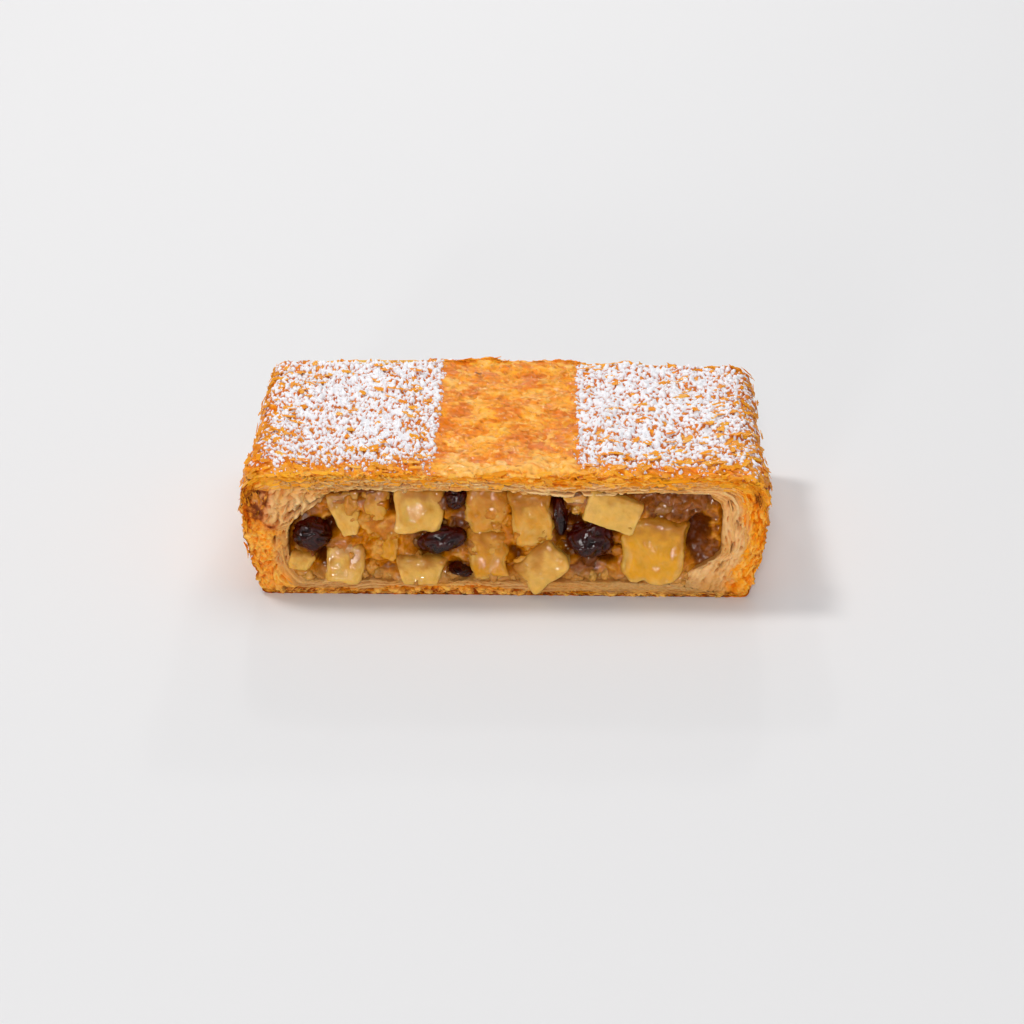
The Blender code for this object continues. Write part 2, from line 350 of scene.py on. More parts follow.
def add_piece(name, points, faces, tint, material, smooth=True):
    """A piece from points in millimetres, with a painted tint at each."""
    mesh = bpy.data.meshes.new(name)
    points = np.asarray(points, float).reshape(-1, 3)
    mesh.from_pydata((points * MM).tolist(), [], np.asarray(faces).tolist())
    mesh.update()
    colour = np.ones((len(points), 4))
    colour[:, :3] = clamp(np.reshape(tint, (-1, 3)))
    layer = mesh.attributes.new("tint", "FLOAT_COLOR", "POINT")
    layer.data.foreach_set("color", colour.ravel())
    if smooth:
        mesh.shade_smooth()
    mesh.materials.append(material)
    piece = bpy.data.objects.new(name, mesh)
    bpy.context.scene.collection.objects.link(piece)
    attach(piece, "root")
    return piece


# ---- sections


ARC_POINTS = 24
SIDE_POINTS = (30, 40, 200, 40, 30, 200)


def rounded(corners):
    """A closed outline with rounded corners, as evenly matched runs of points.
    Each corner is (x, z, radius)."""
    places = np.array([c[:2] for c in corners], float)
    radii = [c[2] for c in corners]
    total = len(places)
    arcs = []
    for i in range(total):
        back = unit(places[i - 1] - places[i])
        ahead = unit(places[(i + 1) % total] - places[i])
        half = math.acos(np.clip(np.dot(back, ahead), -1, 1)) / 2
        middle = places[i] + unit(back + ahead) * radii[i] / math.sin(half)
        start = places[i] + back * radii[i] / math.tan(half) - middle
        end = places[i] + ahead * radii[i] / math.tan(half) - middle
        share = np.linspace(0, 1, ARC_POINTS)[:, None]
        arcs.append(middle + unit(start + (end - start) * share) * radii[i])
    outline = []
    for i in range(total):
        outline.append(arcs[i])
        share = np.linspace(0, 1, SIDE_POINTS[i] + 2)[1:-1, None]
        outline.append(arcs[i][-1] + (arcs[(i + 1) % total][0] - arcs[i][-1]) * share)
    outline.append(arcs[0][:1])
    return np.concatenate(outline)


TOP_CORNER = LOG_TOP - CROWN_RISE
OUTER = rounded((
    (BASE_HALF, 0.0, 2.0),
    (BELLY_HALF, BELLY_HEIGHT, 22.0),
    (SHOULDER_HALF, TOP_CORNER, 6.5),
    (-SHOULDER_HALF, TOP_CORNER, 6.5),
    (-BELLY_HALF, BELLY_HEIGHT, 22.0),
    (-BASE_HALF, 0.0, 2.0)))
INNER = rounded((
    (HOLLOW_HALF - ROLL_RUN, HOLLOW_FLOOR, 6.0),
    (HOLLOW_HALF, HOLLOW_FLOOR + ROLL_RISE, 6.0),
    (HOLLOW_HALF, HOLLOW_CEILING, 6.0),
    (-HOLLOW_HALF + FOLD_RUN, HOLLOW_CEILING, 6.0),
    (-HOLLOW_HALF, HOLLOW_CEILING - FOLD_DROP, 6.0),
    (-HOLLOW_HALF, HOLLOW_FLOOR, 6.0)))
WALK = np.concatenate([[0], np.cumsum(np.linalg.norm(np.diff(OUTER, axis=0), axis=1))])
ROUND = WALK[-1]


def smoothed(values, reach=5):
    """A closed run of values, evened out over its neighbours."""
    total = sum(np.roll(values[:-1], k, 0) for k in range(-reach, reach + 1))
    core = total / (2 * reach + 1)
    return np.concatenate([core, core[:1]])


SLOPE = smoothed(np.gradient(OUTER, axis=0))
NORMAL = unit(np.stack([SLOPE[:, 1], -SLOPE[:, 0]], -1))


def along(table, walk):
    """A section's values at given distances round it, in millimetres."""
    walk = np.mod(walk, ROUND)
    return np.stack([np.interp(walk, WALK, table[:, k]) for k in (0, 1)], -1)


def walk_at(x):
    """How far round the section a place across the top is."""
    top = OUTER[:, 1] > LOG_TOP - 7
    order = np.argsort(OUTER[top][:, 0])
    return np.interp(x, OUTER[top][order, 0], WALK[top][order])


# How far round the section the two shoulders' inner edges are.
LEFT_EDGE = walk_at(-SHOULDER_HALF + 1)
RIGHT_EDGE = walk_at(SHOULDER_HALF - 1)


def settle(x, y, z):
    """A place's height after the crown and the slump of a log rolled by hand."""
    high = clamp(z / LOG_TOP)
    back = y / (2 * HALF_LENGTH) + 0.5
    crown = CROWN_RISE * high * (1 - (x / BELLY_HALF) ** 2)
    slump = BACK_SLUMP * high * back * clamp(x / BELLY_HALF)
    return z + crown - slump


# ---- crust


def burnt_share(walk, y):
    """Where the oven caught the crust: the front left shoulder, a few blisters
    on the right one, and specks here and there."""
    left = walk_at(-SHOULDER_HALF + 2.0)
    right = walk_at(SHOULDER_HALF - 2.0)
    ragged = fractal((walk / 1.8, y / 1.8, 4.0), 3, 91) * 1.1
    share = 0.0
    for spot_walk, behind_cut, size in (
            (left - 0.6, 1.6, 1.5), (left + 1.2, 4.6, 1.3), (left + 4.6, 2.2, 1.5),
            (left + 7.2, 0.4, 1.7), (left - 3.0, 22.0, 0.8), (right - 2.0, 1.0, 1.0),
            (walk_at(39.0), 0.8, 0.9), (walk_at(18.0), 0.8, 1.2),
            (left + 1.0, 22.0 + HALF_LENGTH, 1.3), (right + 2.5, HALF_LENGTH - 4.0, 0.9),
            (right - 2.0, 26.0 + HALF_LENGTH, 1.3),
            (walk_at(-9.0), 28.0 + HALF_LENGTH, 0.7)):
        spot_y = behind_cut - HALF_LENGTH
        far = np.hypot(walk - spot_walk, (y - spot_y) * 0.8) + ragged * 0.8
        share = np.maximum(share, wane(far, size * 0.5, size * 1.15))
    return share


def slant_at(x):
    """How far slivers and flakes of the top lean from the way round the log."""
    return np.clip(-x / 60, -1, 1) * 0.9


def crust_relief(walk, y):
    """How far the crust's skin stands off the section, and what it is like
    there: overlapping membranes, blisters and slivers."""
    place = along(OUTER, walk)
    x, z = place[..., 0], place[..., 1]
    top = ramp(z, LOG_TOP - 9, LOG_TOP - 2)
    base = wane(z, 0.5, 2.5)
    dusted = ramp(np.abs(x), BARE_HALF, BARE_HALF + 4)
    slant = slant_at(x)
    run = walk * np.cos(slant) + y * np.sin(slant)
    rise = -walk * np.sin(slant) + y * np.cos(slant)

    swell = fractal((walk / 19, y / 19, 0.3), 2, 5) * 0.75
    warp = fractal((walk / 7, y / 7, 1.0), 3, 11)
    other = fractal((walk / 6, y / 6, 8.0), 3, 13)
    terrain = fractal((walk / 8.0 + other * 0.5, y / 6.0 + warp * 0.5, 2.0), 2, 31, 0.4)
    level = terrain * 3.2 + 20
    sheet = np.floor(level)
    part = level - sheet
    step = ramp(part, 0.0, 0.32)
    # rim marks the lip of each step and foot the low side under the next step up; the tint
    # paints a highlight on the one and shade on the other.
    rim = ramp(part, 0.02, 0.12) * wane(part, 0.16, 0.42)
    foot = ramp(part, 0.84, 1.0)
    tone = noise((walk / 8, y / 8, sheet * 5.7), 33)
    near, _, blister = cells(walk / 3.6 + warp * 0.9, y / 3.0 + other * 0.9, 37)
    dome = np.sqrt(clamp(1 - (near / 0.7) ** 2)) * ramp(blister, 0.35, 0.9)
    near, _, owner = cells(walk / 2.1 + other * 0.8, y / 2.1 + warp * 0.8, 39)
    pit = wane(near, 0.08, 0.4) * ramp(owner, 0.7, 0.85)
    wrinkle = fractal((walk / 1.5, y / 1.5, 5.0), 3, 43)
    sliver = noise((run / 4.6 + warp, rise / 1.7, 7.0), 47)
    sliver = ramp(sliver, 0.10, 0.2) * (1 - ramp(sliver, 0.3, 0.75) * 0.7)

    shelf = (sheet - 20 + step) * 0.30
    smooth = swell + shelf + rim * 0.07 + dome * 0.42 - pit * 0.3
    on_top = smooth + wrinkle * 0.045 + sliver * dusted * 0.45 - 0.35
    bands = fractal((z / 1.4 + warp * 0.7, y / 16, x / 30), 3, 61)
    chips = fractal((walk / 1.8, y / 2.6, 6.0), 4, 67, 0.6)
    belly = ramp(z, 2, 12) * wane(z, 20, 30)
    on_side = swell + bands * 0.6 + chips * 0.8 + dome * 0.3 - 0.3 - belly * 1.1
    on_base = wrinkle * 0.05
    relief = on_side + (on_top - on_side) * top
    relief = relief + (on_base - relief) * base
    return relief, SimpleNamespace(
        top=top, base=base, tone=tone, rim=rim, foot=foot, pit=pit, dome=dome,
        sliver=sliver * dusted, bands=bands, chips=chips, place=place)


def crust_tint(walk, y, marks):
    x = marks.place[..., 0]
    broad = fractal((walk / 11, y / 11, 9.0), 3, 71)
    fine = fractal((walk / 2.8, y / 2.6, 3.0), 4, 73, 0.6)
    blot = fractal((walk / 1.7, y / 1.7, 6.0), 2, 77)
    front = wane(y, -HALF_LENGTH + 2, -HALF_LENGTH + 30)
    middle = wane(np.abs(x), 9, 22)
    pale = front * middle
    light = 0.42 + marks.tone * 1.5 + broad * 0.35 + fine * 0.25 + pale * 0.35
    # glow lightens the crust toward peach: on the blister domes it is a painted highlight,
    # elsewhere tone that varies at random and is paler toward the front middle.
    glow = marks.dome * 0.5 + marks.tone + fine * 0.4 + pale * 0.5
    deep = 0.35 - marks.tone * 0.8 - broad * 0.6 - fine * 0.5 - pale * 0.5
    streak = ramp(marks.bands + marks.chips * 0.5, -0.5, 0.3)
    walls = coated(GOLD, (AMBER_CRUST, clamp(broad)), (PEACH_CRUST, streak * 0.7))
    under = mix(GOLD, BROWN_CRUST, clamp(0.45 + broad + fine * 0.6))
    shoulder = ramp(np.abs(x), SHOULDER_HALF - 9, SHOULDER_HALF + 1) * marks.top
    return coated(
        GOLD,
        (LIGHT_GOLD, clamp(light)),
        (PEACH_CRUST, ramp(glow, 0.3, 0.9) * 0.9),
        (HONEY, ramp(deep, 0.12, 0.85) * 0.85),
        # painted shade at the foot of each membrane's step
        (HONEY, marks.foot * (1 - pale * 0.4) * 0.7),
        (BROWN_CRUST, marks.pit * 0.45),
        # painted highlight along the lips of the membranes
        (PEACH_CRUST, marks.rim * ramp(blot, -0.2, 0.3) * 0.6),
        (BROWN_CRUST, ramp(blot - fine * 0.5, 0.6, 0.95) * 0.4),
        (LIGHT_GOLD, marks.sliver * 0.3),
        (walls, (1 - marks.top) * (1 - marks.base)),
        (under, marks.base),
        (BROWN_CRUST, shoulder * ramp(broad + fine, -0.2, 0.7) * 0.5),
        (BURNT, burnt_share(walk, y) * 0.9))


def crust_grid(*runs):
    """Columns round the log, closer where a run has a smaller step."""
    return np.concatenate([np.arange(*run) for run in runs] + [[runs[-1][1]]])


def crust_points(walk, y):
    """Places on the crust's skin, and its features there."""
    relief, marks = crust_relief(walk, y)
    normal = along(NORMAL, walk)
    place = marks.place + normal * relief[..., None]
    z = np.maximum(settle(place[..., 0], y, place[..., 1]), 0.0)
    return stack(place[..., 0], y, z), marks


def add_crust(name, walks, step, edge=0.45):
    """A length of the crust's skin, edge millimetres past the cuts."""
    columns = len(walks)
    rows = int(2 * (HALF_LENGTH + edge) / step)
    y = np.linspace(-HALF_LENGTH - edge, HALF_LENGTH + edge, rows)[:, None]
    walk, y = np.broadcast_arrays(walks[None, :], y)
    points, marks = crust_points(walk, y)
    ragged = noise((walk / 1.3, 0, np.sign(y)), 83) * 0.5
    outside = ramp(np.abs(y), HALF_LENGTH - 1.5, HALF_LENGTH)
    points[..., 1] += np.sign(y) * ragged * outside
    tint = crust_tint(walk, y, marks)
    # Painted shade: the crust darkens to red-brown where sugar lies, as in the shadowed
    # holes between its clumps.
    shaded_under_sugar = sugar_density(points[..., 0], y, marks) * marks.top
    tint = mix(tint, CRUST_SHADED_BY_SUGAR, np.clip(shaded_under_sugar * 1.2, 0, 0.8))
    return add_piece(name, points, quads(rows, columns), tint, CRUST)


# ---- sugar


def sugar_density(x, y, marks):
    """How thickly sugar lies at a place: two bands with straight inner edges,
    thin toward the front cut and the shoulders, with bare flakes."""
    broad = fractal((x / 10, y / 12, 30.0), 2, 101)
    ragged = fractal((x / 1.6, y / 1.6, 31.0), 2, 103)
    patch = fractal((x / 3.4 - y / 8, y / 3.0 + x / 9, 32.0), 3, 107)
    inner = ramp(np.abs(x) + ragged * 1.6, BARE_HALF - 1.2, BARE_HALF + 1.6)
    reach = np.where(x < 0, SHOULDER_HALF - 0.5, SHOULDER_HALF + 1.5)
    outer = wane(np.abs(x) + ragged * 2 + broad * 5, reach - 7, reach + 4.5)
    front = ramp(y + ragged * 1.5 + patch * 5, -HALF_LENGTH - 2.5, -HALF_LENGTH + 14)
    back = wane(y + ragged * 2 + patch * 3, HALF_LENGTH - 2.0, HALF_LENGTH + 0.8)
    middle = 1 - np.abs(np.abs(x) - 38) / 40
    cover = 0.42 + middle * 0.42 + broad * 0.35 + ramp(y, -30, 20) * 0.14
    bare = ramp(patch + broad * 0.3, 0.10, 0.6) * 0.6 + marks.sliver * 0.2
    dense = cover * (0.3 + 0.7 * outer) * (0.35 + 0.65 * front) * back - bare
    dense = dense - (1 - outer) * 0.12 - (1 - front) * 0.1
    return clamp(dense) * inner


def add_sugar(name, side, step=0.21):
    """The dusting on one band: round clumps that grow together where it is
    thick, as a skin that dips under the crust where it is bare."""
    x = np.arange(BARE_HALF - 2.0, SHOULDER_HALF + 2.5, step) * side
    y = np.arange(-HALF_LENGTH + 0.2, HALF_LENGTH - 0.1, step * 1.1)
    columns, rows = len(x), len(y)
    x, y = np.meshgrid(x, y)
    points, marks = crust_points(walk_at(x), y)
    dense = sugar_density(points[..., 0], y, marks)
    height = np.full(x.shape, -1.0)
    for pitch, seed, tall in ((1.6, 115, 0.9), (1.1, 117, 0.6)):
        near, _, owner = cells(x / pitch, y / pitch, seed)
        reach = (0.27 + 0.24 * dense) * (0.75 + 0.5 * owner)
        reach = np.where(dense > 0.05 + owner * 0.5, reach, 0.01)
        dome = 1 - (near / reach) ** 2
        rise = np.sqrt(clamp(dome)) * tall * (0.45 + 0.55 * owner)
        height = np.maximum(height, np.where(dome > 0, rise, np.maximum(dome * 0.8, -1)))
    fine = fractal((x / 0.5, y / 0.5, 9.0), 2, 119)
    height = height + fine * 0.08 * (height > 0)
    points[..., 2] += np.where(height > 0, height - 0.03, height * 0.8 - 0.08)
    tint = mix(SUGAR_SHADE, SUGAR_WHITE, ramp(height, 0.0, 0.35))
    return add_piece(name, points, quads(rows, columns), tint, SUGAR)


# ---- cut faces

# Openings between the layers: place across and up, half length and half
# height, tilt, and how deep.
SLITS = {FRONT: (
    (41.6, 30.9, 4.6, 0.7, -5.0, 3.4), (-37.0, 29.6, 5.2, 0.4, 4.0, 2.6),
    (-46.6, 27.2, 4.2, 0.55, 33.0, 3.0), (-53.8, 23.0, 3.0, 0.5, 42.0, 2.6),
    (-24.0, 31.3, 5.0, 0.3, 1.0, 1.8), (4.0, 31.4, 5.5, 0.3, 0.0, 1.8),
    (24.0, 32.0, 5.0, 0.3, -2.0, 1.8), (57.4, 25.8, 1.8, 0.4, -62.0, 2.2),
    (59.5, 20.2, 1.6, 0.35, -84.0, 2.0), (58.4, 14.0, 1.9, 0.4, 78.0, 2.0),
    (55.4, 8.4, 2.2, 0.4, 52.0, 2.2), (-59.4, 15.0, 1.6, 0.4, 84.0, 1.6))}
SLITS[BACK] = tuple((x * 0.94, z + 0.2, *rest) for x, z, *rest in SLITS[FRONT][::2])
# Scorched places at the front cut's edge: across, up, half sizes.
SCORCH_MARKS = (
    (-65.6, 25.4, 0.8, 3.0), (-63.2, 23.2, 1.2, 1.9), (-60.2, 19.0, 0.9, 0.6),
    (-62.8, 28.8, 1.6, 0.8), (-61.4, 26.0, 0.7, 1.0), (64.4, 28.0, 0.8, 1.2))


def slit_depth(x, z, slits):
    """How deep the openings between the layers are at a place."""
    total = 0.0
    for slit_x, slit_z, long, high, tilt, deep in slits:
        a, b = turned(x - slit_x, z - slit_z, tilt)
        b = b + noise((a / 2.0, slit_x, 0), 5) * high * 0.8
        far = np.hypot(a / long, b / high)
        total = np.maximum(total, wane(far, 0.55, 1.1) * deep)
    return total


def cut_surface(walk, down, wall, x, z, side):
    """The relief and tint of a cut through the layers. down is how far in a
    place is from the crust, and wall how thick the pastry is there."""
    seed = 200 + side * 20
    across = x * -side
    left = wane(across, -57, -50) * wane(z, 17, 23)
    right = ramp(across, 50, 57)
    fold = ramp(-across, 26, 36) * wane(-across, 58, 63) * ramp(z, 17, 21)
    top = ramp(z, 25, 28.5) * wane(np.abs(x), 57, 64)
    base = wane(z, 3.6, 5.6) * wane(np.abs(x), 55, 62)
    flank = clamp(1 - top - base)

    warp = fractal((walk / 12, down / 6, side), 3, seed)
    ripple = noise((walk / 3.0, down / 3.5, side), seed + 1)
    level = down / (1.35 + fold * 0.75) + warp * 1.2 + ripple * (0.3 + fold * 0.3)
    layer = np.floor(level)
    part = level - layer
    stand = noise((walk / 7.0, layer * 5.3, side), seed + 3)
    tears = noise((walk / 1.5, layer * 3.1, side), seed + 8)
    ledge = ramp(part, 0.0, 0.1) * (1 - ramp(part, 0.6, 1.0) * 0.9)
    near, _, owner = cells(walk / 3.0 + warp * 0.4, down / 0.95 + warp, seed + 4)
    pore = wane(near, 0.1, 0.34) * ramp(owner, 0.55, 0.7) * (flank + 0.3)
    rough = fractal((walk / 1.7, down / 1.1, side), 4, seed + 5, 0.6)
    crumb = fractal((x / 1.0, z / 1.0, side), 3, seed + 6, 0.6)
    near, second, block = cells(x / 1.9 + warp, z / 1.4 + warp, seed + 7)
    clod = ramp(second - near, 0.0, 0.35)
    near, second, plate = cells(walk / 3.2 + warp * 0.6, down / 0.85 + warp * 1.2, seed + 9)
    groove = wane(second - near, 0.0, 0.2)

    skin_reach = 3.0 + left * 4.6 + right * 3.0 + base * 0.2
    skin_reach = skin_reach * (1 + warp * 0.5 + ripple * 0.25)
    baked = wane(down, skin_reach * 0.8, skin_reach * 1.2)
    lumpy = clamp(left + base + right * 0.3)
    slits = slit_depth(across, z, SLITS[side])

    ledges = ledge * (1.1 - flank * 0.6) * (1 - fold) + ledge * fold * 2.0
    layered = stand * (0.9 + flank * 0.3) + tears * 0.25 + ledges - 0.8 - fold * 0.7
    flaky = (plate - 0.45) * 1.5 - groove * 0.4 + crumb * 0.2
    crumbly = (clod - 0.6) * 0.9 + (block - 0.5) * 1.5 + crumb * 0.5
    skin = flaky + (crumbly - flaky) * lumpy
    relief = layered + (skin - layered) * baked
    relief = relief - pore * 1.2 + rough * 0.12 - slits
    relief = relief - ramp(down, wall - 0.6, wall + 0.3) * 0.3

    pick = plate + (block - plate) * lumpy
    golden = coated(
        GOLD,
        (LIGHT_GOLD, clamp(0.2 + pick * 0.8 + rough * 0.4)),
        (PEACH_CRUST, ramp(pick + crumb * 0.3, 0.5, 1.0) * 0.8),
        (AMBER_CRUST, ramp(0.35 - pick + rough * 0.3, 0.0, 0.35) * 0.75),
        # painted shade in the grooves between flaky plates and between crumbly clods
        (AMBER_CRUST, (groove + (1 - clod - groove) * lumpy) * 0.4),
        (PEACH_CRUST, left * ramp(crumb, -0.5, 0.3) * 0.65))
    brown = mix(PEACH_CRUST, BROWN_CRUST, clamp(1.1 + rough * 1.4 - block))
    toast = wane(z, 0.7, 2.6) * (1 - 0.75 * flank)
    shade = (1 - ledge) * (0.55 - flank * 0.35) + pore * 0.7
    damp = ramp(down, wall - 1.6, wall) * (0.35 + 0.3 * warp) + base * (1 - baked) * 0.5
    tint = coated(
        PALE_DOUGH,
        (BUTTER_DOUGH, clamp(0.3 + top * 0.4 + warp * 0.6 + rough * 0.4)),
        (WET_DOUGH, clamp(left * 0.55 + flank * (0.1 + stand * 0.3))),
        (LAYER_SHADE, np.clip(shade, 0, 0.85)),
        # painted shade in the gaps between the folded sheets
        (DEEP_SHADE, wane(part, 0.0, 0.16) * fold * 0.5),
        (golden, baked),
        (brown, toast * 0.95),
        # painted shade that deepens with each slit's depth
        (DEEP_SHADE, np.clip(slits / 5.0, 0, 0.55)),
        (WET_DOUGH, np.clip(damp, 0, 0.75)))
    return relief, scorch(tint, across, z, side)


def scorch(tint, across, z, side):
    """Browns a tint round the dark marks, and chars it in their middles."""
    ragged = fractal((across / 1.1, z / 1.6, side), 3, 97) * 1.1
    share = -1.0
    for spot in SCORCH_MARKS:
        far = from_spot(across, z, spot) + ragged
        share = np.maximum(share, 1 - far / 1.6)
    return coated(tint, (AMBER_CRUST, ramp(share, -0.8, 0.1) * 0.5),
                  (BROWN_CRUST, ramp(share, 0.0, 0.4) * 0.7),
                  (BURNT, ramp(share, 0.36, 0.7) * 0.7))


def add_cut(name, side, step=0.33, rows=44, reach=10.0, inward=12):
    """One cut face of the sleeve, from the crust to the hollow, and reach
    millimetres of the hollow's own wall behind it."""
    columns = int(ROUND / step)
    walk = np.linspace(0, ROUND, columns)
    inner = along(INNER, walk)
    edge_y = np.full(columns, side * HALF_LENGTH)
    outer = crust_points(walk, edge_y)[0][:, (0, 2)]
    ragged = noise((walk / 7.0, side, 3.0), 131) * 0.9
    ragged = ragged + noise((walk / 1.9, side, 5.0), 132) * 0.45
    ragged = ragged * ramp(walk, 0, 4) * wane(walk, ROUND - 4, ROUND)
    toward = inner - along(OUTER, walk)
    wall = np.linalg.norm(toward, axis=1)
    toward = toward / wall[:, None]
    inner = inner + toward * (ragged * 0.8)[:, None]
    inner[:, 1] = settle(inner[:, 0], edge_y, inner[:, 1]) - 0.3
    share = np.linspace(0, 1, rows)[:, None]
    x, z = (outer[:, k] + (inner[:, k] - outer[:, k]) * share for k in (0, 1))
    walk, wall, down = np.broadcast_arrays(walk, wall, share * wall)
    relief, tint = cut_surface(walk, down, wall, x, z, side)
    y = side * (HALF_LENGTH + relief * ramp(down, -0.2, 0.5))
    face = stack(x, y, z)

    # The wall of the hollow runs inward from the face's last row.
    depth = np.linspace(0, 1, inward + 1)[1:, None] ** 1.3 * reach
    wet = noise((walk[0] / 3.0, depth / 3.0, side), 141)
    lift = wet * 0.3 * ramp(depth, 0, 2)
    tube_x, tube_z = (inner[:, k] + toward[:, k] * lift for k in (0, 1))
    tube = stack(tube_x, y[-1] - side * depth, tube_z)
    # Painted shade: the wall darkens the further it runs into the hollow.
    tube_tint = mix(WET_DOUGH, DEEP_SHADE, ramp(depth + wet, 1.0, 6.5))
    # One row before the face tucks its edge in under the crust.
    tuck = stack(outer[:, 0], side * (HALF_LENGTH - 1.2), outer[:, 1])[None]
    centre = np.array((0, 0, LOG_TOP / 2))
    tuck = tuck + (centre - tuck) * np.array((0.006, 0, 0.03))
    points = np.concatenate([tuck, face, tube])
    tints = np.concatenate([tint[:1], tint, tube_tint])
    return add_piece(name, points, quads(1 + rows + inward, columns), tints, LAYERS)


def lamina_points(start, end, depth_at, out, thick, side, seed, reach=2.6):
    """One loose sheet of dough at a cut, as a thin band with an edge that waves.
    It lies depth_at millimetres in from the crust, stands out by out and runs
    back by reach."""
    count = max(10, int((end - start) / 0.35))
    walk = np.linspace(start, end, count)
    outer = along(OUTER, walk)
    inner = along(INNER, walk)
    for edge in (inner, outer):
        edge[:, 1] = settle(edge[:, 0], side * HALF_LENGTH, edge[:, 1])
    wall = np.linalg.norm(inner - outer, axis=1)
    wave = noise((walk / 8, seed, 0), 151) * 0.9
    wave = wave + noise((walk / 2.2, seed, 1), 152) * 0.3
    high = ramp(outer[:, 1], 24, 29)
    depth = np.clip(depth_at * (0.75 + 0.25 * wall / 5) + wave, -0.1, wall - 0.6 + high)
    front = out + noise((walk / 4.5, seed, 2), 153) * 0.6
    front = front + noise((walk / 0.9, seed, 3), 154) * 0.2
    front = front - ramp(noise((walk / 2.0, seed, 4), 155), 0.15, 0.3) * 0.8
    fade = np.minimum(ramp(walk, start, start + 1.4), wane(walk, end - 1.4, end))
    front = front * fade - (1 - fade) * 1.2
    droop = np.maximum(front, 0) * 0.35 * high
    toward = (inner - outer) / wall[:, None]
    rows = []
    for offset, back in ((0, 0), (0, 1), (thick, 1), (thick, 0)):
        place = outer + toward * (depth + offset * (0.4 + 0.6 * fade))[:, None]
        y = side * (HALF_LENGTH + np.where(back, -reach, front))
        fall = 0 if back else droop
        rows.append(stack(place[:, 0], y, place[:, 1] - fall))
    rows.append(rows[0])
    return np.array(rows), depth


def sheet_runs(dice):
    """Where the loose sheets lie: their start and end round the log, how far
    in they are, how far they stand out and how thick they are."""
    left = walk_at(-55.0)
    right = walk_at(56.0)
    runs = []
    for count, low, high, longs, *ranges in (
            (20, right - 4, left + 4, (3, 15), (-0.1, 3.0), (0.2, 1.3), (0.16, 0.34)),
            (12, right, left, (9, 36), (3.2, 6.2), (0.2, 1.3), (0.45, 0.85)),
            (13, 5.0, right, (4, 14), (0.3, 8.0), (-0.1, 0.8), (0.3, 0.7)),
            (13, left, ROUND * 0.69, (4, 14), (0.3, 11.0), (-0.1, 0.8), (0.3, 0.7)),
            (5, left - 17, None, (9, 16), (5.5, 9.5), (0.6, 1.5), (0.7, 1.0)),
            (8, ROUND * 0.66, ROUND - 3, (6, 26), (0.3, 3.2), (-0.2, 0.5), (0.2, 0.4))):
        for i in range(count):
            long = dice.uniform(*longs)
            start = dice.uniform(low, high - long) if high else low + i * 2.6
            runs.append((start, start + long, *(dice.uniform(*r) for r in ranges)))
    return runs


def add_laminae(name, side):
    """The dough sheets whose edges stand out of a cut."""
    dice = np.random.default_rng(40 + side)
    points, faces, tints = [], [], []
    offset = 0
    for i, run in enumerate(sheet_runs(dice)):
        band, depth = lamina_points(*run, side, i * 7.7 + side)
        rows, columns = band.shape[:2]
        points.append(band.reshape(-1, 3))
        faces.append(quads(rows, columns, offset))
        offset += rows * columns
        across = band[0, :, 0] * -side
        low = wane(band[0, :, 2], 1.5, 3.5)
        skin_reach = 3.0 + wane(across, -60, -52) * 4.6 + ramp(across, 52, 60) * 3
        baked = wane(depth, skin_reach - 1, skin_reach + 0.8)
        shade = dice.uniform(0, 1) + noise((across / 5, i, side), 157) * 0.5
        golden = coated(LIGHT_GOLD, (GOLD, clamp(shade)),
                        (PEACH_CRUST, ramp(0.5 - shade, 0, 0.5) * 0.8))
        tint = coated(PALE_DOUGH, (BUTTER_DOUGH, clamp(shade) * 0.8),
                      (golden, baked), (BROWN_CRUST, low * 0.5))
        tint = scorch(tint, across, band[0, :, 2], side)
        tints.append(np.tile(tint, (rows, 1)))
    return add_piece(name, np.concatenate(points), np.concatenate(faces),
                     np.concatenate(tints), LAYERS)


# ---- flakes


